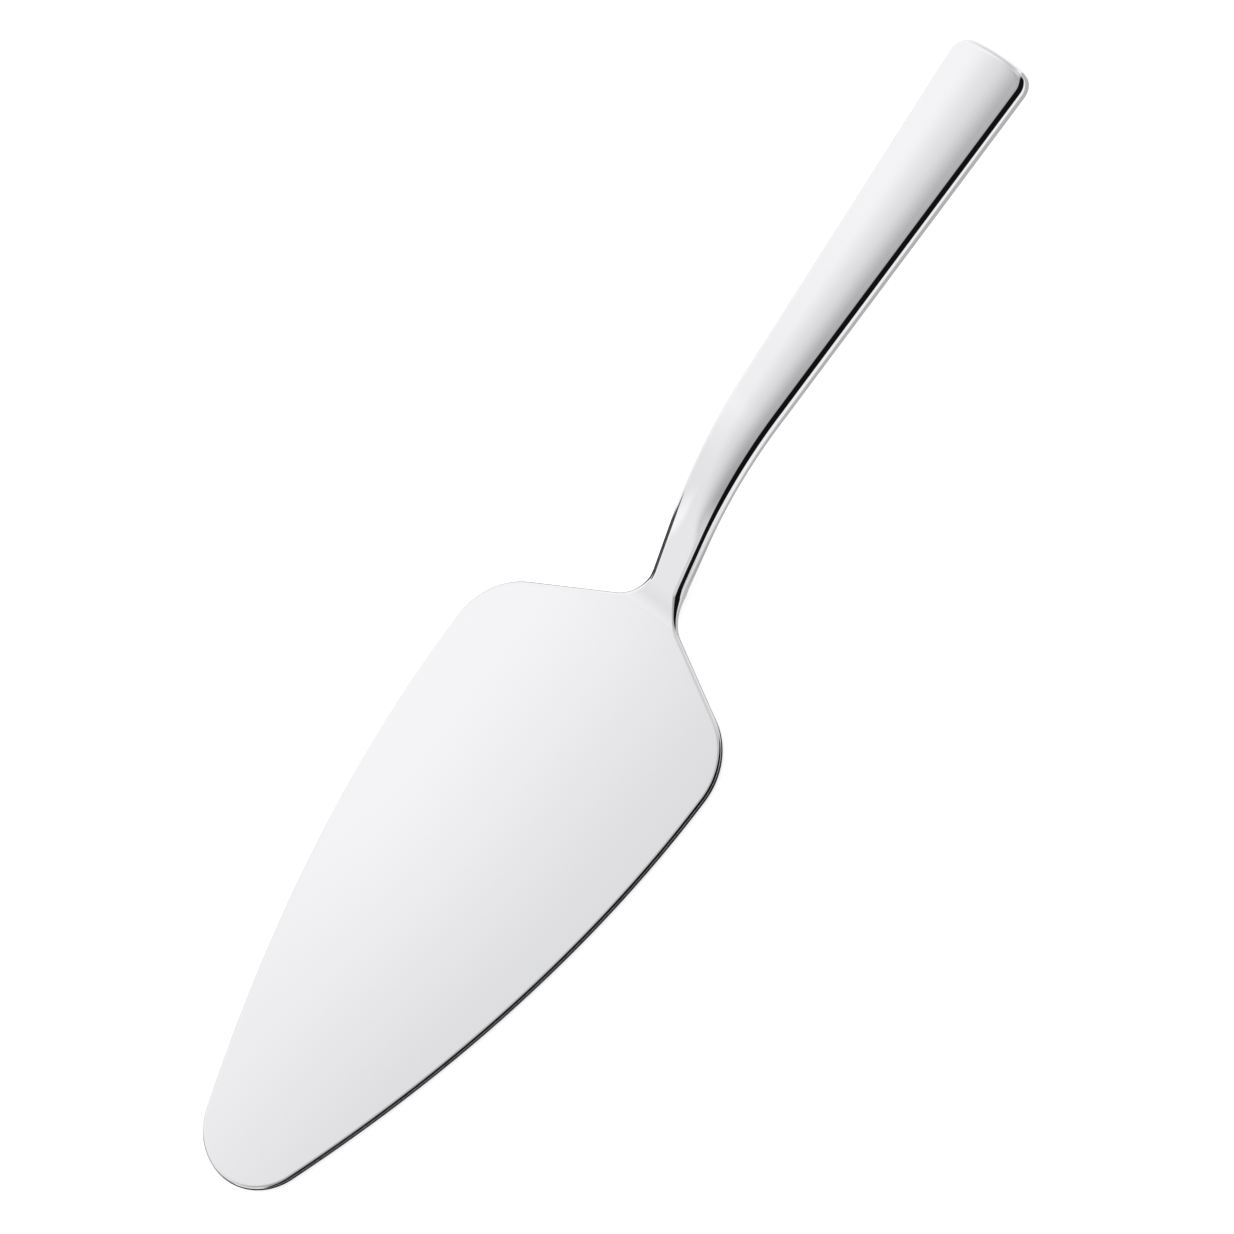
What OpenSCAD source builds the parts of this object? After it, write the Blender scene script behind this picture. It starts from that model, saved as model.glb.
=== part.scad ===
// Cake server in polished stainless steel: a flat blade, a bent neck and a hollow handle.
// The tip points to -X, the handle to +X, and the blade lies flat on Z = 0.

/* [Blade] */
// Length from the tip to the narrow end of the heel
blade_l = 143; // [128:0.1:150]
// Width across the shoulders
blade_w = 67.6; // [58:0.2:74]
// Thickness of the plate
blade_t = 1.6; // [1.2:0.1:2.2]
// Narrow flat left on the rounded edge of the plate
blade_edge_flat = 0.1; // [0.05:0.05:0.5]
// Radius of the rounded tip
tip_r = 13; // [9:0.5:17]
// Angle between the side and the centre line where the tip ends
side_angle = 21.4; // [19:0.1:28]
// Radius of the two shoulders
shoulder_r = 15.2; // [8:0.1:18]
// Angle between the heel and the centre line
heel_angle = 63.3; // [52:0.1:74]
// Radius of the hollow curve from the heel into the neck
heel_fillet_r = 8.1; // [4:0.1:11]

/* [Neck] */
// Width of the neck where it leaves the heel
neck_w = 8.4; // [7:0.1:10]
// Thickness of the neck
neck_t = 3.6; // [3:0.1:4.2]
// Radius of the foot bend, on the top side
foot_r = 11; // [6:0.1:18]
// Slope of the straight run between the bends
neck_angle = 30.1; // [20:0.1:38]
// Length of the straight run between the bends
neck_run = 13.7; // [6:0.1:20]
// Radius of the upper bend, on the top side
bend_r = 67.3; // [40:0.1:90]
// Length over which the flat top of the neck grows its crown
crown_run = 8; // [4:0.5:20]

/* [Handle] */
// Length from the shoulder to the end
handle_l = 79.3; // [60:0.1:110]
// Slope of the handle
handle_angle = 5.2; // [2:0.1:10]
// Width at the shoulder
handle_front_w = 12.1; // [10.4:0.1:13]
// Width at the end
handle_end_w = 18.6; // [15:0.1:22]
// Height of the sides, with their rounded edges
handle_t = 4.1; // [3.8:0.1:6]
// Radius of the rounded edges
edge_r = 1.7; // [1:0.1:1.8]
// Angle that the gentle curve across the top and the underside reaches at the rounded edges
crown_angle = 8.7; // [3:0.1:14]
// Radius of the two corners at the end, seen from above
end_corner_r = 3.8; // [2:0.1:5]
// Radius of the slight bow of the end between its corners, seen from above
end_bow_r = 50; // [30:1:120]
// Thickness of the pressed sheet
shell_wall = 0.8; // [0.6:0.1:0.9]

/* [Tang] */
// Length of the tang inside the handle
tang_l = 54; // [30:1:56]
// Width of the tang
tang_w = 6.4; // [5:0.1:7]
// Room for cement above and below the tang
tang_clearance = 0.35; // [0.2:0.05:0.4]

/* [Hidden] */

// Steps along each curve
tip_steps = 9;
side_steps = 16;
shoulder_steps = 9;
fillet_steps = 5;
corner_steps = 4;
crown_steps = 6;
foot_steps = 7;
run_steps = 3;
bend_steps = 9;
handle_steps = 5;
end_steps = 7;

// How far a cut runs past the face that it opens
overrun = 1;
// Smallest radius of a corner inside a shell
least_r = 0.2;
// Share of the straight run where the crown begins
crown_start_share = 0.5;
// Share of the hollow curve between heel and neck that belongs to the neck
weld_share = 0.9;
polished_steel = [0.80, 0.81, 0.82];
cement_grey = [0.70, 0.68, 0.64];

blade_half = blade_w / 2;
blade_edge_r = (blade_t - blade_edge_flat) / 2;
neck_half = neck_w / 2;

// The side starts where the tip's arc ends, and its control point lies level with the shoulder
tip_turn = 90 - side_angle;
side_start = [tip_r * (1 - cos(tip_turn)), tip_r * sin(tip_turn)];
side_control = [side_start.x + (blade_half - side_start.y) / tan(side_angle), blade_half];

// The heel is a straight line between the shoulder's arc and the fillet's arc
fillet_centre = [blade_l, neck_half + heel_fillet_r];
heel_arcs_r = shoulder_r + heel_fillet_r;
heel_drop = blade_half - shoulder_r - fillet_centre.y + heel_arcs_r * cos(heel_angle);
shoulder_centre = [
    blade_l - heel_drop / tan(heel_angle) - heel_arcs_r * sin(heel_angle),
    blade_half - shoulder_r
];
side_end = [shoulder_centre.x, blade_half];

// Where the blade ends and the neck's foot begins
weld_x = blade_l - heel_fillet_r * sin(heel_angle * weld_share);

// The ends of the foot bend, of the straight run and of the upper bend, along the top of the neck
foot_end = [weld_x + foot_r * sin(neck_angle), blade_t + foot_r * (1 - cos(neck_angle))];
run_end = foot_end + neck_run * [cos(neck_angle), sin(neck_angle)];
crown_start = mixed(foot_end, run_end, crown_start_share);
shoulder = run_end + bend_r * [sin(neck_angle) - sin(handle_angle), cos(handle_angle) - cos(neck_angle)];

tang_t = handle_t - 2 * shell_wall - 2 * tang_clearance;

// The end of the handle leans back, so the lower edge of its flat reaches furthest
overall_l = shoulder.x + handle_l * cos(handle_angle) + (handle_t - edge_r) * sin(handle_angle);

function clip(v) = min(max(v, 0), 1);
function mixed(a, b, share) = a + (b - a) * share;
function reversed(list) = [for (i = [len(list) - 1:-1:0]) list[i]];
function arc_point(centre, r, turn) = centre + r * [sin(turn), cos(turn)];

// One closed solid through rings of points, each with as many points as the next. A flat ring is closed
// by one face, and the rings of a bowed solid by strips between their upper and their lower points.
module loft(rings, bowed = false) {
    n = len(rings[0]);
    last = (len(rings) - 1) * n;
    strips = [for (j = [0:n / 2 - 2]) [j, j + 1, n - 2 - j, n - 1 - j]];
    sides = [
        for (i = [0:len(rings) - 2], j = [0:n - 1])
        let (a = i * n + j, b = i * n + (j + 1) % n)
        each [[a, a + n, b], [a + n, b + n, b]]
    ];
    cap = bowed ? strips : [[for (j = [0:n - 1]) j]];
    far_cap = [for (face = cap) [for (j = reversed(face)) last + j]];
    polyhedron(points = [for (ring = rings) each ring], faces = concat(sides, cap, far_cap));
}

// The side of the blade as a smooth curve from the tip's arc to the shoulder's arc
function side_point(share) =
    mixed(mixed(side_start, side_control, share), mixed(side_control, side_end, share), share);

function side_normal(share) =
    let (run = mixed(side_control - side_start, side_end - side_control, share))
    [-run.y, run.x] / norm(run);

// One half of the blade's outline, from the tip to the weld, drawn in by an inset
function half_outline(inset) =
    let (
        fillet_r = heel_fillet_r + inset,
        weld_turn = asin((blade_l - weld_x) / fillet_r)
    )
    concat(
        [for (i = [0:tip_steps]) arc_point([tip_r, 0], tip_r - inset, tip_turn * i / tip_steps - 90)],
        [for (i = [1:side_steps]) side_point(i / side_steps) - inset * side_normal(i / side_steps)],
        [for (i = [1:shoulder_steps])
            arc_point(shoulder_centre, shoulder_r - inset, heel_angle * i / shoulder_steps)],
        [for (i = [0:fillet_steps])
            arc_point(fillet_centre, -fillet_r, mixed(heel_angle, weld_turn, i / fillet_steps))]
    );

function blade_ring(inset, z) =
    let (half = half_outline(inset))
    concat(
        [for (p = half) [p.x, p.y, z]],
        [for (i = [len(half) - 1:-1:1]) [half[i].x, -half[i].y, z]]
    );

// How far the rounded edge draws in and drops where it has turned from level by an angle
function edge_inset(r, turn) = r * (1 - sin(turn));
function edge_drop(r, turn) = r * (1 - cos(turn));

module blade() {
    turns = [for (i = [0:corner_steps]) 90 * i / corner_steps];
    upper = [for (a = turns)
        blade_ring(edge_inset(blade_edge_r, a), blade_t - edge_drop(blade_edge_r, a))];
    lower = [for (a = reversed(turns)) blade_ring(edge_inset(blade_edge_r, a), edge_drop(blade_edge_r, a))];
    color(polished_steel) loft(concat(upper, lower));
}

// A cross-section as [across, up] points, seen from the tip, from its +Y side over the top and back
// below. half_of(inset) is half its width less an inset, h its height at the sides, r the radius of
// its corners and beta the angle that its crown reaches there, which is zero where the top is flat.
function section(half_of, h, r, beta) =
    let (
        d = half_of(r),
        crown = beta > 0 ? r + d / sin(beta) : 0,
        rise = beta > 0 ? edge_drop(crown - r, beta) : 0,
        corner = [for (i = [0:corner_steps])
            let (a = mixed(90, beta, i / corner_steps))
            [half_of(edge_inset(r, a)), -edge_drop(r, a)]],
        top = [for (i = [1:crown_steps - 1])
            let (a = mixed(beta, -beta, i / crown_steps))
            beta > 0
            ? [crown * sin(a), rise - edge_drop(crown, a)]
            : [mixed(d, -d, i / crown_steps), 0]],
        over = concat(corner, top, [for (p = reversed(corner)) [-p.x, p.y]])
    )
    concat(over, [for (p = reversed(over)) [p.x, -h - p.y]]);

// Half the width of the neck at a place along it, less an inset
function neck_half_at(x, inset) =
    x < blade_l
    ? fillet_centre.y - sqrt(pow(heel_fillet_r + inset, 2) - pow(blade_l - x, 2))
    : mixed(neck_half, handle_front_w / 2, (x - blade_l) / (shoulder.x - blade_l)) - inset;

// A ring across the neck whose top edge passes a point, leaning back by the slope there. The
// underside stays on Z = 0 until the neck has its full thickness, and the crown grows from flat.
function neck_ring(p, slope) =
    let (
        rear_share = clip((p.x - run_end.x) / (shoulder.x - run_end.x)),
        h = min(p.y / cos(slope), mixed(neck_t, handle_t, rear_share)),
        r = min(edge_r, (h - blade_edge_flat) / 2),
        beta = crown_angle * clip((p.x - crown_start.x) / crown_run),
        shape = section(function (inset) neck_half_at(p.x, inset), h, r, beta)
    )
    [for (q = shape) [p.x - q.y * sin(slope), q.x, p.y + q.y * cos(slope)]];

module neck_stem() {
    foot = [for (i = [0:foot_steps])
        let (a = neck_angle * i / foot_steps)
        neck_ring([weld_x + foot_r * sin(a), blade_t + foot_r * (1 - cos(a))], a)];
    run = [for (i = [1:run_steps]) neck_ring(mixed(foot_end, run_end, i / run_steps), neck_angle)];
    bend = [for (i = [1:bend_steps])
        let (a = mixed(neck_angle, handle_angle, i / bend_steps))
        neck_ring(run_end + bend_r * [sin(neck_angle) - sin(a), cos(a) - cos(neck_angle)], a)];
    color(polished_steel) {
        loft(concat(foot, run, bend));
        on_handle() tang();
    }
}

module tang() {
    translate([-overrun, -tang_w / 2, -(handle_t + tang_t) / 2]) cube([tang_l + overrun, tang_w, tang_t]);
}

// Puts what is drawn along X, with the top edges at Z = 0, behind the shoulder
module on_handle() {
    translate([shoulder.x, 0, shoulder.y]) rotate([0, -handle_angle, 0]) children();
}

// Half the width of the handle at a place along it, less an inset. Past the start of the corners at
// the end, end_turn says how far they have turned.
function handle_half_at(u, end_turn, inset) =
    mixed(handle_front_w / 2, handle_end_w / 2, u / handle_l) - inset
    - edge_drop(end_corner_r - inset, end_turn);

// How far forward of the middle a point across the handle lies. The cross-lines are straight at the
// shoulder and bow more and more towards the end.
function bow_at(u, y) = clip(u / handle_l) * pow(y, 2) / (2 * end_bow_r);

// A ring across the handle, drawn in by an inset on all sides and at the end
function handle_ring(u, end_turn, inset) =
    let (
        into_end = max(u - (handle_l - edge_r), 0),
        drop = edge_r - sqrt(max(pow(edge_r, 2) - pow(into_end, 2), 0)),
        h = handle_t - 2 * max(inset, drop),
        r = max(edge_r - max(inset, drop), least_r)
    )
    [for (q = section(function (more) handle_half_at(u, end_turn, inset) - more, h, r, crown_angle))
        [u - bow_at(u, q.x), q.x, q.y - max(inset, drop)]];

function handle_rings(start, inset) =
    let (corner_u = handle_l - end_corner_r)
    concat(
        [for (i = [0:handle_steps]) handle_ring(mixed(start, corner_u, i / handle_steps), 0, inset)],
        [for (i = [1:end_steps])
            let (a = 90 * i / end_steps)
            handle_ring(corner_u + (end_corner_r - inset) * sin(a), a, inset)]
    );

module handle_shell(upper) {
    reach = handle_l + handle_end_w;
    half_h = handle_t / 2;
    difference() {
        loft(handle_rings(0, 0), bowed = true);
        loft(concat([handle_ring(-overrun, 0, shell_wall)], handle_rings(0, shell_wall)), bowed = true);
        translate([-reach / 2, -reach, upper ? -half_h - reach : -half_h])
            cube([2 * reach, 2 * reach, reach]);
    }
}

module handle_upper_shell() {
    color(polished_steel) on_handle() handle_shell(true);
}

module handle_lower_shell() {
    color(polished_steel) on_handle() handle_shell(false);
}

module handle_filler() {
    color(cement_grey) on_handle() difference() {
        loft(handle_rings(0, shell_wall), bowed = true);
        tang();
    }
}

translate([-overall_l / 2, 0, 0]) {
    blade();
    neck_stem();
    handle_upper_shell();
    handle_lower_shell();
    handle_filler();
}
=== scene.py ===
import math

import bmesh
import bpy
from mathutils import Matrix, Vector


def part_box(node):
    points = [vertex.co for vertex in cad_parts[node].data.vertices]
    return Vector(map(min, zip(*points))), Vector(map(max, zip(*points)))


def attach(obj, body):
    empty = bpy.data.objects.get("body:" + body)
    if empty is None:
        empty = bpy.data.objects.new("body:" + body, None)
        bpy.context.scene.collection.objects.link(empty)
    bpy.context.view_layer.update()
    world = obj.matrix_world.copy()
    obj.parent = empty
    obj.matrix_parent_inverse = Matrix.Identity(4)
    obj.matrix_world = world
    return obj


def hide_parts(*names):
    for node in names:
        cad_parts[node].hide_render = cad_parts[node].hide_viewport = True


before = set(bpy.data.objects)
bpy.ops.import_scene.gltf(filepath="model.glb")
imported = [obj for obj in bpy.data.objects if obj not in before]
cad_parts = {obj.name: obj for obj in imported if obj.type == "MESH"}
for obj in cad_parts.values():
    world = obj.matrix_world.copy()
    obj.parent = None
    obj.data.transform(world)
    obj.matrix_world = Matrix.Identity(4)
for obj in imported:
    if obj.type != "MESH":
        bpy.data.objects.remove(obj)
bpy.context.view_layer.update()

# The view: a long lens, from above the near side of the server, rolled so that the handle points up to
# the right. The sizes are real ones, so the server keeps its place in the frame.
MM = 0.001
view_azimuth = math.radians(-2.39)
view_elevation = math.radians(61.54)
view_roll = math.radians(50.78)
view_distance = 994 * MM
frame_width = 238.04 * MM
aim_past_middle = 1.52 * MM
aim_above_blade = 4.27 * MM
sensor_width = 36
nearest_seen = 0.05
farthest_seen = 50

blade_low, blade_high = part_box("blade")
toward_camera = Vector((
    math.sin(view_azimuth) * math.cos(view_elevation),
    -math.cos(view_azimuth) * math.cos(view_elevation),
    math.sin(view_elevation),
))
level_up = (Vector((0, 0, 1)) - toward_camera * toward_camera.z).normalized()
level_right = level_up.cross(toward_camera)
frame_right = math.cos(view_roll) * level_right - math.sin(view_roll) * level_up
frame_up = math.sin(view_roll) * level_right + math.cos(view_roll) * level_up
aim = Vector((aim_past_middle, 0, blade_high.z)) + aim_above_blade * level_up

bpy.ops.object.select_all(action="DESELECT")
bpy.ops.object.camera_add()
camera = bpy.context.object
turned = Matrix((frame_right, frame_up, toward_camera)).transposed()
camera.matrix_world = Matrix.Translation(aim + view_distance * toward_camera) @ turned.to_4x4()
camera.data.sensor_width = sensor_width
camera.data.lens = sensor_width * view_distance / frame_width
camera.data.clip_start = nearest_seen
camera.data.clip_end = farthest_seen
bpy.context.scene.camera = camera


# The stage: a white floor with painted shadows, grey and black, that only the steel mirrors, under the
# handle, behind the neck and beside the blade and its heel, a net of black thread that grades the light
# over the blade, and surroundings that are bright above and on the far side, and black on the near side,
# where a dark screen stands.
class Value:
    """An output of a node that can be added, multiplied and so on, which adds the Math nodes."""

    def __init__(self, graph, socket):
        self.graph = graph
        self.socket = socket

    def math(self, operation, first, second=0.0):
        return self.graph.add("ShaderNodeMath", {"operation": operation}, {0: first, 1: second})

    def __add__(self, other):
        return self.math("ADD", self, other)

    def __radd__(self, other):
        return self.math("ADD", other, self)

    def __sub__(self, other):
        return self.math("SUBTRACT", self, other)

    def __rsub__(self, other):
        return self.math("SUBTRACT", other, self)

    def __mul__(self, other):
        return self.math("MULTIPLY", self, other)

    def __rmul__(self, other):
        return self.math("MULTIPLY", other, self)

    def ramp(self, start, end, low=0.0, high=1.0):
        """Goes smoothly from low, where this value is start, to high, where it is end."""
        settings = {"interpolation_type": "SMOOTHSTEP"}
        values = {"Value": self, "From Min": start, "From Max": end, "To Min": low, "To Max": high}
        return self.graph.add("ShaderNodeMapRange", settings, values)


class Graph:
    """The nodes of one material or of the world."""

    def __init__(self, owner):
        owner.use_nodes = True
        self.tree = owner.node_tree
        self.tree.nodes.clear()

    def add(self, kind, settings, values, output=0):
        node = self.tree.nodes.new(kind)
        for name, setting in settings.items():
            setattr(node, name, setting)
        for name, value in values.items():
            if isinstance(value, Value):
                self.tree.links.new(value.socket, node.inputs[name])
            else:
                node.inputs[name].default_value = value
        return Value(self, node.outputs[output]) if len(node.outputs) else node


def surface(obj, material):
    """Gives an object one material."""
    obj.data.materials.clear()
    obj.data.materials.append(material)


def stage_plane(name, lengths, place):
    """Adds a level plane of the stage, with its middle at a place."""
    bpy.ops.object.select_all(action="DESELECT")
    bpy.ops.mesh.primitive_plane_add(size=1, location=place)
    bpy.context.object.name = name
    bpy.context.object.scale = (*lengths, 1)
    return bpy.context.object


def parts_of(graph, vector, parts):
    """The parts of a place or direction: X runs along the server, Y across it and Z up."""
    return [graph.add("ShaderNodeSeparateXYZ", {}, {"Vector": vector}, part) for part in parts]


# Each rim says where a painted shadow or a light starts and where it is full, and where it has four
# numbers, the last two are the levels at the first two. Each slant says how far an edge moves along the
# server for a step across it, and each shade how much light the painted shadow takes away.
floor_width = 8
floor_colour = (0.8, 0.8, 0.8, 1)
floor_glow = 0.78
floor_mirrored = 1.08
shadow_strip_spread = 0.25
shadow_strip_half = 7 * MM
shadow_strip_rim = (5 * MM, -5 * MM)
shadow_strip_front_rim = (0, 20 * MM)
shadow_strip_end_rim = (126 * MM, 134 * MM)
shadow_strip_far_rim = (-6 * MM, 4 * MM)
shadow_strip_shade = 0.5
neck_shadow_front_slant = 0.55
neck_shadow_front_rim = (12.5 * MM, 15.5 * MM)
neck_shadow_rear_slant = 0.48
neck_shadow_rear_rim = (34 * MM, 28 * MM)
neck_shadow_near_rim = (5 * MM, 8 * MM)
neck_shadow_shade = 0.94
blade_shadow_taper = (-150 * MM, -30 * MM, 9 * MM, 40 * MM)
blade_shadow_rim = (24 * MM, 14 * MM)
blade_shadow_far_rim = (10 * MM, -2 * MM)
blade_shadow_rear_rim = (-1 * MM, -4 * MM)
blade_shadow_shade = 0.97
heel_shadow_far_rim = (0, -8 * MM)
heel_shadow_near_rim = (-60 * MM, -40 * MM)
heel_shadow_front_rim = (-12 * MM, -4 * MM)
heel_shadow_rear_rim = (30 * MM, 20 * MM)
heel_shadow_slant = 0.48
heel_shadow_fade = (17 * MM, 11 * MM, 0.35, 1.0)
heel_shadow_shade = 0.42

floor = stage_plane("floor", (floor_width, floor_width), (0, 0, 0))
floor_paint = bpy.data.materials.new("white_floor")
graph = Graph(floor_paint)
along, across = parts_of(graph, graph.add("ShaderNodeNewGeometry", {}, {}, "Position"), "XY")
aside = across.math("ABSOLUTE", across)
# Painted shadow on the floor under the handle, fading past its end; only the steel mirrors it.
handle_painted_shadow = (aside - along * shadow_strip_spread - shadow_strip_half).ramp(*shadow_strip_rim)
handle_painted_shadow = handle_painted_shadow * along.ramp(*shadow_strip_front_rim)
past_end = along.ramp(*shadow_strip_end_rim) * across.ramp(*shadow_strip_far_rim)
# Painted shadow on the floor behind the far side of the neck; only the steel mirrors it.
neck_painted_shadow = (along + across * neck_shadow_front_slant).ramp(*neck_shadow_front_rim)
neck_painted_shadow = neck_painted_shadow * (along + across * neck_shadow_rear_slant).ramp(*neck_shadow_rear_rim)
neck_painted_shadow = neck_painted_shadow * across.ramp(*neck_shadow_near_rim)
# Painted shadow on the floor along the near edge of the blade; only the steel mirrors it.
blade_painted_shadow = (aside - along.ramp(*blade_shadow_taper)).ramp(*blade_shadow_rim)
blade_painted_shadow = blade_painted_shadow * across.ramp(*blade_shadow_far_rim) * along.ramp(*blade_shadow_rear_rim)
# Painted shadow on the floor beside the heel, on the near side; only the steel mirrors it.
heel_painted_shadow = across.ramp(*heel_shadow_far_rim) * across.ramp(*heel_shadow_near_rim)
heel_painted_shadow = heel_painted_shadow * along.ramp(*heel_shadow_front_rim) * along.ramp(*heel_shadow_rear_rim)
heel_painted_shadow = heel_painted_shadow * (along - across * heel_shadow_slant).ramp(*heel_shadow_fade)
mirrored = floor_mirrored * (1.0 - handle_painted_shadow * (1.0 - past_end) * shadow_strip_shade)
mirrored = mirrored * (1.0 - heel_painted_shadow * heel_shadow_shade)
mirrored = mirrored * (1.0 - neck_painted_shadow * neck_shadow_shade) * (1.0 - blade_painted_shadow * blade_shadow_shade)
camera_ray = graph.add("ShaderNodeLightPath", {}, {}, "Is Camera Ray")
glossy_ray = graph.add("ShaderNodeLightPath", {}, {}, "Is Glossy Ray")
lit = graph.add("ShaderNodeBsdfDiffuse", {}, {"Color": floor_colour})
glow = graph.add("ShaderNodeEmission", {}, {"Color": camera_ray * floor_glow})
both = graph.add("ShaderNodeAddShader", {}, {0: lit, 1: glow})
# Glossy rays see the floor glowing white, with the painted shadows in it.
painted_shadow_glow = graph.add("ShaderNodeEmission", {}, {"Color": mirrored})
shown = graph.add("ShaderNodeMixShader", {}, {0: glossy_ray, 1: both, 2: painted_shadow_glow})
graph.add("ShaderNodeOutputMaterial", {}, {"Surface": shown})
surface(floor, floor_paint)

# The net is thinner, and lets more light through, towards the far side and over the handle.
net_lengths = (1.2, 0.6)
net_place = (0, 0.25, 0.2)
net_thread = (0, 0, 0, 1)
net_across = (50 * MM, 145 * MM, 0.75, 0.97)
net_tip = (-130 * MM, -50 * MM, 0.985, 1.02)
net_neck = (0, 30 * MM, 1.0, 0.95)
net_handle = (30 * MM, 90 * MM, 1.0, 1.04)

net = stage_plane("graded_net", net_lengths, net_place)
net_cloth = bpy.data.materials.new("net_cloth")
graph = Graph(net_cloth)
along, across = parts_of(graph, graph.add("ShaderNodeNewGeometry", {}, {}, "Position"), "XY")
through = across.ramp(*net_across) * along.ramp(*net_tip)
through = through * along.ramp(*net_neck) * along.ramp(*net_handle)
camera_ray = graph.add("ShaderNodeLightPath", {}, {}, "Is Camera Ray")
open_air = graph.add("ShaderNodeBsdfTransparent", {}, {})
thread = graph.add("ShaderNodeBsdfDiffuse", {}, {"Color": net_thread})
open_share = camera_ray.math("MAXIMUM", camera_ray, through)
woven = graph.add("ShaderNodeMixShader", {}, {0: open_share, 1: thread, 2: open_air})
graph.add("ShaderNodeOutputMaterial", {}, {"Surface": woven})
surface(net, net_cloth)

# In the surroundings the parts are those of a direction, from -1 to 1. The dark screen draws the black
# line along the near edges, the neck flag draws the dark line along the far side of the neck, and the end
# wall greys the end of the handle.
sky_rise = (0.12, 0.40, 0.56, 1.15)
overhead_lift = (0.225, 0.17, 0.0, 0.14)
tip_side_rim = (-0.62, -0.8)
tip_side_far_rim = (0.3, 0.22)
tip_side_light = 0.45
tip_back_rim = (-0.55, -0.68)
tip_back_near_rim = (0.52, 0.6)
tip_back_light = 0.2
heel_side_rim = (0.28, 0.62)
heel_side_far_rim = (0.33, 0.18)
heel_side_near_rim = (-0.15, -0.05)
heel_side_light = 0.35
tip_half_dim = (-0.45, -0.03, 0.87, 1.0)
tip_end_lift = (-0.6, -0.8, 1.0, 1.04)
screen_rim = (-0.18, -0.35)
screen_tip_rim = (-0.97, -0.88)
screen_heel_rim = (0.96, 0.84)
screen_low_rim = (0.0, 0.06)
screen_shade = 0.99
neck_flag_slant = 0.78
neck_flag_rim = (-1.135, -1.165)
neck_flag_top_rim = (0.33, 0.29)
neck_flag_shade = 0.94
end_wall_rim = (0.6, 0.9)
end_wall_near_rim = (0.15, 0.35)
end_wall_shade = 0.35

studio = bpy.data.worlds.new("studio")
bpy.context.scene.world = studio
graph = Graph(studio)
along, across, up = parts_of(graph, graph.add("ShaderNodeTexCoord", {}, {}, "Generated"), "XYZ")
sky = across.ramp(*sky_rise) + across.ramp(*overhead_lift)
sky = sky + along.ramp(*tip_side_rim) * across.ramp(*tip_side_far_rim) * tip_side_light
sky = sky + along.ramp(*tip_back_rim) * across.ramp(*tip_back_near_rim) * tip_back_light
heel_side = along.ramp(*heel_side_rim) * across.ramp(*heel_side_far_rim)
sky = sky + heel_side * across.ramp(*heel_side_near_rim) * heel_side_light
sky = sky * along.ramp(*tip_half_dim) * along.ramp(*tip_end_lift)
screen = across.ramp(*screen_rim) * along.ramp(*screen_tip_rim)
screen = screen * along.ramp(*screen_heel_rim) * up.ramp(*screen_low_rim)
neck_flag = (along - across * neck_flag_slant).ramp(*neck_flag_rim) * up.ramp(*neck_flag_top_rim)
end_wall = along.ramp(*end_wall_rim) * across.ramp(*end_wall_near_rim)
around = sky * (1.0 - screen * screen_shade) * (1.0 - neck_flag * neck_flag_shade)
around = around * (1.0 - end_wall * end_wall_shade)
camera_ray = graph.add("ShaderNodeLightPath", {}, {}, "Is Camera Ray")
strength = camera_ray.math("MAXIMUM", camera_ray, around)
background = graph.add("ShaderNodeBackground", {}, {"Color": strength})
graph.add("ShaderNodeOutputWorld", {}, {"Surface": background})

bpy.context.scene.view_settings.view_transform = "Standard"


# The blade: one flat plate of stainless steel, cut to its outline, with fully rounded edges, ground flat
# and mirror polished on both sides. Its heel is butt-welded to the neck and the weld is polished over.
tip_r = 13 * MM
side_angle = math.radians(21.4)
shoulder_r = 15.2 * MM
heel_angle = math.radians(63.3)
heel_fillet_r = 8.1 * MM
weld_share = 0.9
blade_edge_flat = 0.1 * MM
blade_face_rim = 0.3 * MM
arc_steps = 28
side_steps = 64
fillet_steps = 10
blade_edge_steps = 10
blade_edge_profile = 0.5
broad_face_corners = 100
same_place = 0.01 * MM
smooth_angle = math.radians(40)
blade_t = blade_high.z
blade_half = blade_high.y
blade_edge_r = (blade_t - blade_edge_flat) / 2
tip_x = blade_low.x
weld_x = blade_high.x
neck_x = weld_x + heel_fillet_r * math.sin(heel_angle * weld_share)
neck_half = 4.2 * MM


def mixed(a, b, share):
    return a + (b - a) * share


def arc_point(centre, r, turn):
    """A point of an arc, turned from the far side, at 0, towards the end of the handle."""
    return centre + r * Vector((math.sin(turn), math.cos(turn)))


def shares(steps, first=0):
    """The shares from 0, or from a later step, up to 1."""
    return [i / steps for i in range(first, steps + 1)]


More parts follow.
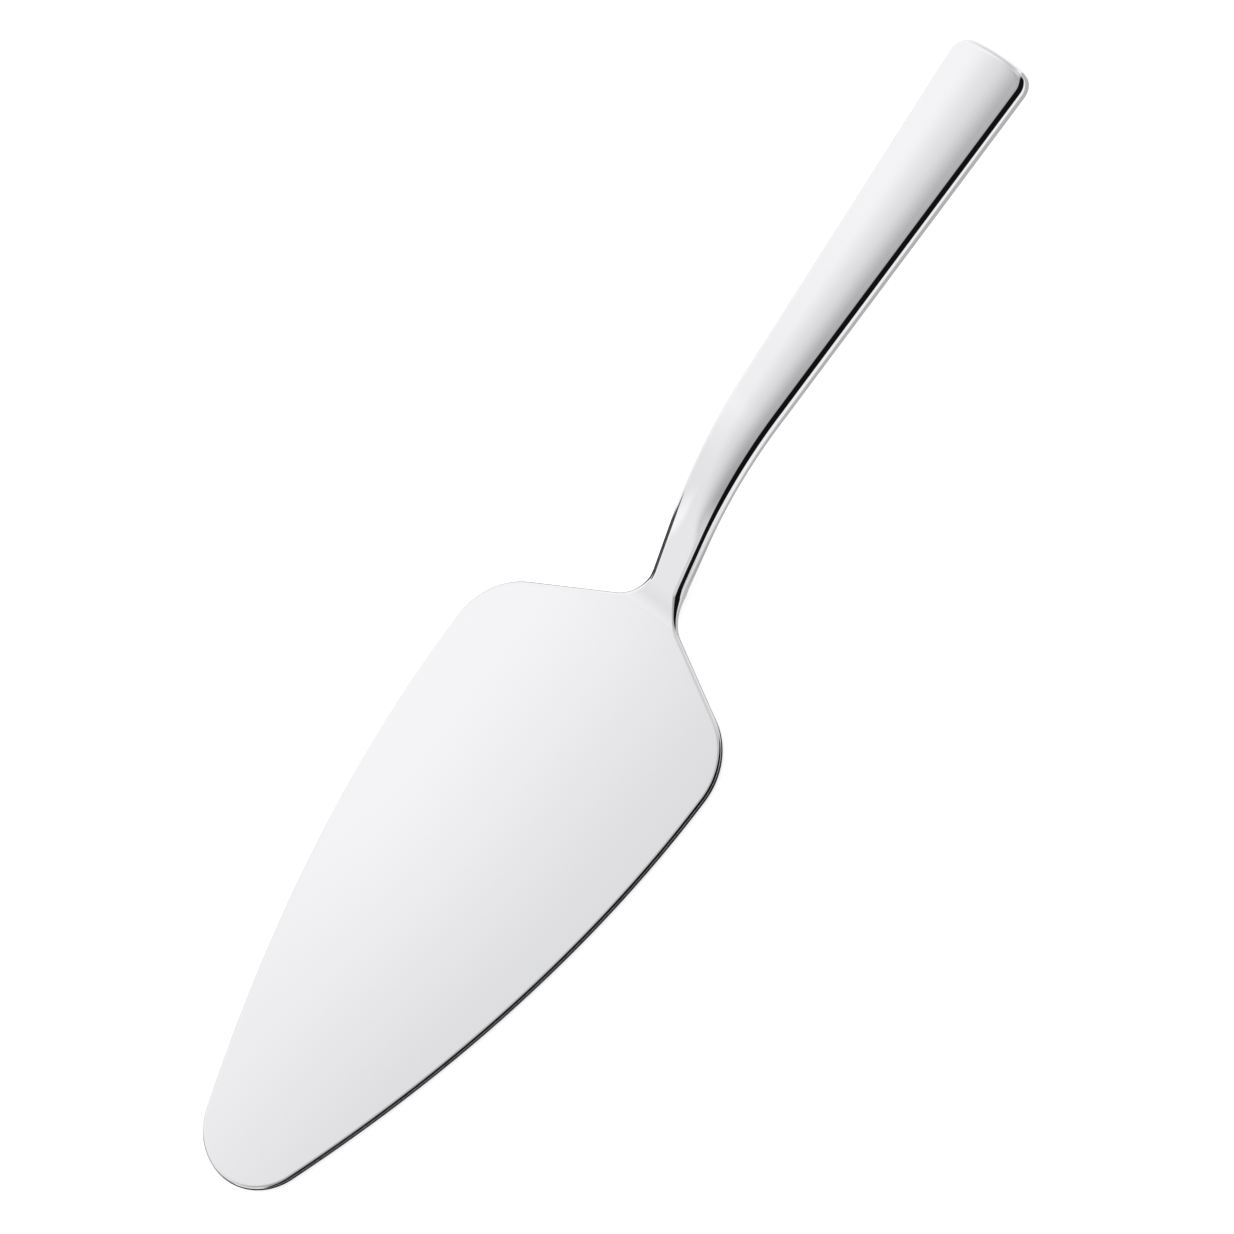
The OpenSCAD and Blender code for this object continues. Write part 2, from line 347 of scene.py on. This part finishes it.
def half_outline():
    """The outline on the far side, from the tip to the weld."""
    tip_turn = math.pi / 2 - side_angle
    tip_centre = Vector((tip_x + tip_r, 0))
    side_start = arc_point(tip_centre, tip_r, tip_turn - math.pi / 2)
    fillet_centre = Vector((neck_x, neck_half + heel_fillet_r))
    arcs_r = shoulder_r + heel_fillet_r
    heel_drop = blade_half - shoulder_r - fillet_centre.y + arcs_r * math.cos(heel_angle)
    heel_run = heel_drop / math.tan(heel_angle) + arcs_r * math.sin(heel_angle)
    shoulder_centre = Vector((neck_x - heel_run, blade_half - shoulder_r))
    control = Vector((side_start.x + (blade_half - side_start.y) / math.tan(side_angle), blade_half))
    side_end = Vector((shoulder_centre.x, blade_half))
    tip = [arc_point(tip_centre, tip_r, tip_turn * a - math.pi / 2) for a in shares(arc_steps)]
    side = [
        mixed(mixed(side_start, control, a), mixed(control, side_end, a), a)
        for a in shares(side_steps, 1)
    ]
    shoulder = [arc_point(shoulder_centre, shoulder_r, heel_angle * a) for a in shares(arc_steps, 1)]
    fillet = [
        arc_point(fillet_centre, -heel_fillet_r, heel_angle * mixed(1, weld_share, a))
        for a in shares(fillet_steps)
    ]
    return tip + side + shoulder + fillet


def pick(kind, passes):
    """Selects the edges or faces of the piece in edit mode whose corners pass a test."""
    mesh = bmesh.from_edit_mesh(bpy.context.object.data)
    bpy.ops.mesh.select_mode(type={"edges": "EDGE", "faces": "FACE"}[kind])
    bpy.ops.mesh.select_all(action="DESELECT")
    for element in getattr(mesh, kind):
        element.select_set(passes([v.co for v in element.verts]))
    bmesh.update_edit_mesh(bpy.context.object.data)


def near(a, b):
    return abs(a - b) < same_place


def polygon_piece(name, corners):
    """Starts a piece as one flat face with these corners, and opens it for editing."""
    bpy.ops.object.select_all(action="DESELECT")
    bpy.ops.mesh.primitive_circle_add(vertices=len(corners), radius=blade_half, fill_type="NGON")
    piece = bpy.context.object
    piece.name = name
    for vertex, corner in zip(piece.data.vertices, corners):
        vertex.co = corner
    bpy.ops.object.mode_set(mode="EDIT")
    bpy.ops.mesh.select_all(action="SELECT")
    return piece


def close_piece():
    """Turns all faces outwards, leaves edit mode and shades round stretches smooth."""
    bpy.ops.mesh.select_all(action="SELECT")
    bpy.ops.mesh.normals_make_consistent(inside=False)
    bpy.ops.object.mode_set(mode="OBJECT")
    bpy.ops.object.shade_smooth_by_angle(angle=smooth_angle)


far_side = half_outline()
near_side = [Vector((p.x, -p.y)) for p in reversed(far_side[1:])]
blade = polygon_piece("blade_plate", [Vector((p.x, p.y, blade_t)) for p in far_side + near_side])
bpy.ops.mesh.extrude_region_move(TRANSFORM_OT_translate={"value": (0, 0, -blade_t)})
pick("edges", lambda ends: near(ends[0].z, ends[1].z) and not all(near(p.x, weld_x) for p in ends))
bpy.ops.mesh.bevel(
    offset=blade_edge_r,
    segments=blade_edge_steps,
    profile=blade_edge_profile,
    affect="EDGES",
)
pick("faces", lambda corners: len(corners) > broad_face_corners)
bpy.ops.mesh.inset(thickness=blade_face_rim)
close_piece()

steel_colour = (0.80, 0.80, 0.815, 1)
steel_roughness = 0.045
haze_scale = 45.0
haze_roughness = 0.03
wheel_line_scale = (60, 2600, 2600)
wheel_line_roughness = 0.01
wheel_line_bump = 0.02
wheel_line_depth = 0.00002
polish_detail = 3.0


def mirror_steel(name):
    """Polished stainless steel, with the faint lines of the polishing wheel along the server."""
    steel = bpy.data.materials.new(name)
    graph = Graph(steel)
    place = graph.add("ShaderNodeTexCoord", {}, {}, "Object")
    stretched = graph.add("ShaderNodeMapping", {}, {"Vector": place, "Scale": wheel_line_scale})
    fine = {"Vector": stretched, "Scale": 1.0, "Detail": polish_detail}
    lines = graph.add("ShaderNodeTexNoise", {}, fine)
    broad = {"Vector": place, "Scale": haze_scale, "Detail": polish_detail}
    haze = graph.add("ShaderNodeTexNoise", {}, broad)
    grooves = {"Height": lines, "Strength": wheel_line_bump, "Distance": wheel_line_depth}
    values = {
        "Base Color": steel_colour,
        "Metallic": 1.0,
        "Roughness": steel_roughness + haze * haze_roughness + lines * wheel_line_roughness,
        "Normal": graph.add("ShaderNodeBump", {}, grooves),
    }
    shader = graph.add("ShaderNodeBsdfPrincipled", {}, values)
    graph.add("ShaderNodeOutputMaterial", {}, {"Surface": shader})
    return steel


def dress(piece, material, slot, *nodes):
    """Lets a piece stand for CAD nodes, ride with the server and wear a material."""
    surface(piece, material)
    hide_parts(*nodes)
    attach(piece, "root")


dress(blade, mirror_steel("blade_steel"), "polished_steel", "blade")


# The neck: one forging. Its foot starts as thin as the blade and thickens as it rises, it is straight for
# a short run and bends back into the handle, where a shoulder closes the shells and a tang goes on.
neck_t = 3.6 * MM
foot_r = 11 * MM
neck_angle = math.radians(30.1)
neck_run = 13.7 * MM
bend_r = 67.3 * MM
handle_angle = math.radians(5.2)
handle_front_half = 6.05 * MM
handle_t = 4.1 * MM
edge_r = 1.7 * MM
crown_angle = math.radians(8.7)
crown_run = 8 * MM
crown_start_share = 0.5
least_crown_share = 0.001
tang_l = 54 * MM
tang_half = 3.2 * MM
tang_t = 1.8 * MM
tang_reach = 1 * MM
tang_end_bevel = tang_t / 6
tang_end_steps = 3
corner_steps = 14
top_steps = 28
foot_steps = 24
run_steps = 8
bend_steps = 36

foot_end = Vector((weld_x, blade_t)) + foot_r * Vector((math.sin(neck_angle), 1 - math.cos(neck_angle)))
run_end = foot_end + neck_run * Vector((math.cos(neck_angle), math.sin(neck_angle)))
crown_start = mixed(foot_end, run_end, crown_start_share)


def bend_point(slope):
    """The place in the bend where the neck's upper edges, seen from the side, have this slope."""
    return run_end + bend_r * Vector((
        math.sin(neck_angle) - math.sin(slope),
        math.cos(slope) - math.cos(neck_angle),
    ))


shoulder = bend_point(handle_angle)


def clip(value):
    return min(max(value, 0), 1)


def neck_half_at(x, inset):
    """Half the width of the neck at a place along it, less an inset."""
    if x < neck_x:
        reach = heel_fillet_r + inset
        return neck_half + heel_fillet_r - math.sqrt(reach ** 2 - (neck_x - x) ** 2)
    return mixed(neck_half, handle_front_half, (x - neck_x) / (shoulder.x - neck_x)) - inset


def neck_section(top, slope):
    """The corners of a cross-section whose upper edges pass a point of the neck's side view."""
    rear_share = clip((top.x - run_end.x) / (shoulder.x - run_end.x))
    h = min(top.y / math.cos(slope), mixed(neck_t, handle_t, rear_share))
    r = min(edge_r, (h - blade_edge_flat) / 2)
    beta = crown_angle * max(clip((top.x - crown_start.x) / crown_run), least_crown_share)
    crown = r + neck_half_at(top.x, r) / math.sin(beta)
    rise = (crown - r) * (1 - math.cos(beta))
    corner = []
    for share in shares(corner_steps):
        turn = mixed(math.pi / 2, beta, share)
        corner.append((neck_half_at(top.x, r * (1 - math.sin(turn))), r * (math.cos(turn) - 1)))
    over = []
    for share in shares(top_steps)[1:-1]:
        turn = mixed(beta, -beta, share)
        over.append((crown * math.sin(turn), rise - crown * (1 - math.cos(turn))))
    upper = corner + over + [(-y, up) for y, up in reversed(corner)]
    whole = upper + [(y, -h - up) for y, up in reversed(upper)]
    return [
        Vector((top.x - up * math.sin(slope), y, top.y + up * math.cos(slope)))
        for y, up in whole
    ]


neck_sections = []
for share in shares(foot_steps):
    slope = neck_angle * share
    top = Vector((weld_x, blade_t)) + foot_r * Vector((math.sin(slope), 1 - math.cos(slope)))
    neck_sections.append(neck_section(top, slope))
for share in shares(run_steps, 1):
    neck_sections.append(neck_section(mixed(foot_end, run_end, share), neck_angle))
for share in shares(bend_steps, 1):
    slope = mixed(neck_angle, handle_angle, share)
    neck_sections.append(neck_section(bend_point(slope), slope))

# The sections are bridged into one skin, and both ends are closed.
neck = polygon_piece("neck_forging", neck_sections[0])
bpy.ops.mesh.delete(type="ONLY_FACE")
for section in neck_sections[1:]:
    bpy.ops.mesh.primitive_circle_add(vertices=len(section), radius=neck_half)
bpy.ops.object.mode_set(mode="OBJECT")
for vertex, corner in zip(neck.data.vertices, sum(neck_sections, [])):
    vertex.co = corner
bpy.ops.object.mode_set(mode="EDIT")
bpy.ops.mesh.select_all(action="SELECT")
bpy.ops.mesh.bridge_edge_loops(type="SINGLE", interpolation="LINEAR")
bpy.ops.mesh.select_all(action="SELECT")
bpy.ops.mesh.region_to_loop()
bpy.ops.mesh.edge_face_add()
close_piece()

# The tang reaches a little way into the shoulder, and the two become one solid.
bpy.ops.object.select_all(action="DESELECT")
bpy.ops.mesh.primitive_cube_add(size=1, scale=(tang_l + tang_reach, tang_half * 2, tang_t))
tang = bpy.context.object
bpy.ops.object.mode_set(mode="EDIT")
bpy.ops.transform.translate(value=((tang_l - tang_reach) / 2, 0, -handle_t / 2))
pick("edges", lambda ends: all(near(p.x, tang_l) for p in ends))
bpy.ops.mesh.bevel(offset=tang_end_bevel, segments=tang_end_steps, affect="EDGES")
bpy.ops.object.mode_set(mode="OBJECT")
tang.location = (shoulder.x, 0, shoulder.y)
tang.rotation_euler = (0, -handle_angle, 0)
bpy.ops.object.select_all(action="DESELECT")
neck.select_set(True)
bpy.context.view_layer.objects.active = neck
bpy.ops.object.modifier_add(type="BOOLEAN")
neck.modifiers[-1].operation = "UNION"
neck.modifiers[-1].object = tang
bpy.ops.object.modifier_apply(modifier=neck.modifiers[-1].name)
bpy.data.objects.remove(tang)
bpy.ops.object.shade_smooth_by_angle(angle=smooth_angle)
dress(neck, mirror_steel("neck_steel"), "polished_steel", "neck_stem")


# The handle: two pressed halves of thin sheet, upper and lower, brazed together along the middle of the
# sides and to the neck's shoulder, and polished until no seam shows. It widens evenly to its end.
handle_l = 79.3 * MM
handle_end_half = 9.3 * MM
end_corner_r = 3.8 * MM
end_bow_r = 50 * MM
shell_wall = 0.8 * MM
handle_steps = 24
end_steps = 12
crown_steps = 40
rim_steps = 14


def rim_base(column, across):
    """Where a ball of the edge's radius touches the crown from inside, and how far round the end it is.

    Columns up to handle_steps go along the tapered side, and the rest go round the corner at the end.
    """
    side_share = min(column / handle_steps, 1)
    end_turn = max(column - handle_steps, 0) / end_steps * math.pi / 2
    side_u = (handle_l - end_corner_r) * side_share + end_corner_r * math.sin(end_turn)
    half = mixed(handle_front_half, handle_end_half, side_u / handle_l)
    reach = half - edge_r - (end_corner_r - edge_r) * (1 - math.cos(end_turn))
    u = side_u - edge_r * math.sin(end_turn)
    y = reach * across
    return Vector((u - clip(u / handle_l) * y ** 2 / (2 * end_bow_r), y, end_turn))


def rim_point(base, turn_share):
    """A point of the rounded edge, turned from the crown, at 0, to the upright wall, at 1."""
    u, y, end_turn = base
    half = mixed(handle_front_half, handle_end_half, u / handle_l)
    inner_crown = (half - edge_r) / math.sin(crown_angle)
    turn = math.asin(y / inner_crown)
    centre = Vector((u, y, inner_crown * (math.cos(turn) - math.cos(crown_angle)) - edge_r))
    crown = Vector((0, math.sin(turn), math.cos(turn)))
    bow = y / end_bow_r * math.sin(end_turn)
    wall = Vector((math.sin(end_turn), math.copysign(math.cos(end_turn), y) + bow, 0)).normalized()
    return centre + edge_r * crown.slerp(wall, turn_share)


def handle_shell(name, node, upper):
    """Draws one half of the handle from its crown down to the seam, thickens it and sets it in place."""
    bpy.ops.object.select_all(action="DESELECT")
    columns = handle_steps + end_steps
    bpy.ops.mesh.primitive_grid_add(x_subdivisions=columns, y_subdivisions=crown_steps, size=1)
    shell = bpy.context.object
    shell.name = name
    bpy.ops.object.mode_set(mode="EDIT")

    # The grid becomes the crown, as far as the rounded edge.
    mesh = bmesh.from_edit_mesh(shell.data)
    bases = mesh.verts.layers.float_vector.new("rim_base")
    for vertex in mesh.verts:
        vertex[bases] = rim_base(round((vertex.co.x + 0.5) * columns), vertex.co.y * 2)
        vertex.co = rim_point(vertex[bases], 0)
    bmesh.update_edit_mesh(shell.data)

    # Its rim is rolled over and drawn down to the seam, but for the front, which is open to the neck.
    bpy.ops.mesh.select_all(action="SELECT")
    bpy.ops.mesh.region_to_loop()
    mesh = bmesh.from_edit_mesh(shell.data)
    for edge in mesh.edges:
        if all(near(v.co.x, 0) for v in edge.verts):
            edge.select_set(False)
    mesh.select_flush_mode()
    for share in shares(rim_steps, 1) + [None]:
        bmesh.update_edit_mesh(shell.data)
        bpy.ops.mesh.extrude_edges_move()
        mesh = bmesh.from_edit_mesh(shell.data)
        bases = mesh.verts.layers.float_vector["rim_base"]
        for vertex in mesh.verts:
            if vertex.select and share is None:
                vertex.co.z = -handle_t / 2
            elif vertex.select:
                vertex.co = rim_point(vertex[bases], share)
    bmesh.update_edit_mesh(shell.data)

    # The lower half is the upper one turned over, and both get their wall inwards.
    bpy.ops.mesh.select_all(action="SELECT")
    if not upper:
        bpy.ops.transform.resize(value=(1, 1, -1), center_override=(0, 0, -handle_t / 2))
    close_piece()
    if (shell.data.polygons[0].normal.z > 0) != upper:
        bpy.ops.object.mode_set(mode="EDIT")
        bpy.ops.mesh.flip_normals()
        bpy.ops.object.mode_set(mode="OBJECT")
    bpy.ops.object.modifier_add(type="SOLIDIFY")
    shell.modifiers[-1].thickness = shell_wall
    shell.modifiers[-1].offset = -1
    bpy.ops.object.modifier_apply(modifier=shell.modifiers[-1].name)
    bpy.ops.object.shade_smooth_by_angle(angle=smooth_angle)
    shell.location = (shoulder.x, 0, shoulder.y)
    shell.rotation_euler = (0, -handle_angle, 0)
    bpy.ops.object.transform_apply(location=True, rotation=True, scale=False)
    dress(shell, mirror_steel(name + "_steel"), "polished_steel", node)


handle_shell("upper_shell", "handle_upper_shell", True)
handle_shell("lower_shell", "handle_lower_shell", False)


# The filling: grey cement, poured into the handle around the tang before it is brazed shut. It hides
# inside and keeps its modelled shape.
cement_colour = (0.45, 0.42, 0.38, 1)
cement_roughness = 0.8
grit_scale = 900.0
grit_detail = 4.0
grit_roughness = 0.15
grit_bump = 0.4
grit_depth = 0.2 * MM

cement = bpy.data.materials.new("cement")
graph = Graph(cement)
place = graph.add("ShaderNodeTexCoord", {}, {}, "Object")
grains = {"Vector": place, "Scale": grit_scale, "Detail": grit_detail}
grit = graph.add("ShaderNodeTexNoise", {}, grains)
pits = {"Height": grit, "Strength": grit_bump, "Distance": grit_depth}
values = {
    "Base Color": cement_colour,
    "Roughness": cement_roughness + grit * grit_roughness,
    "Normal": graph.add("ShaderNodeBump", {}, pits),
}
shader = graph.add("ShaderNodeBsdfPrincipled", {}, values)
graph.add("ShaderNodeOutputMaterial", {}, {"Surface": shader})
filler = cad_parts["handle_filler"]
for slot in filler.material_slots:
    slot.material = cement
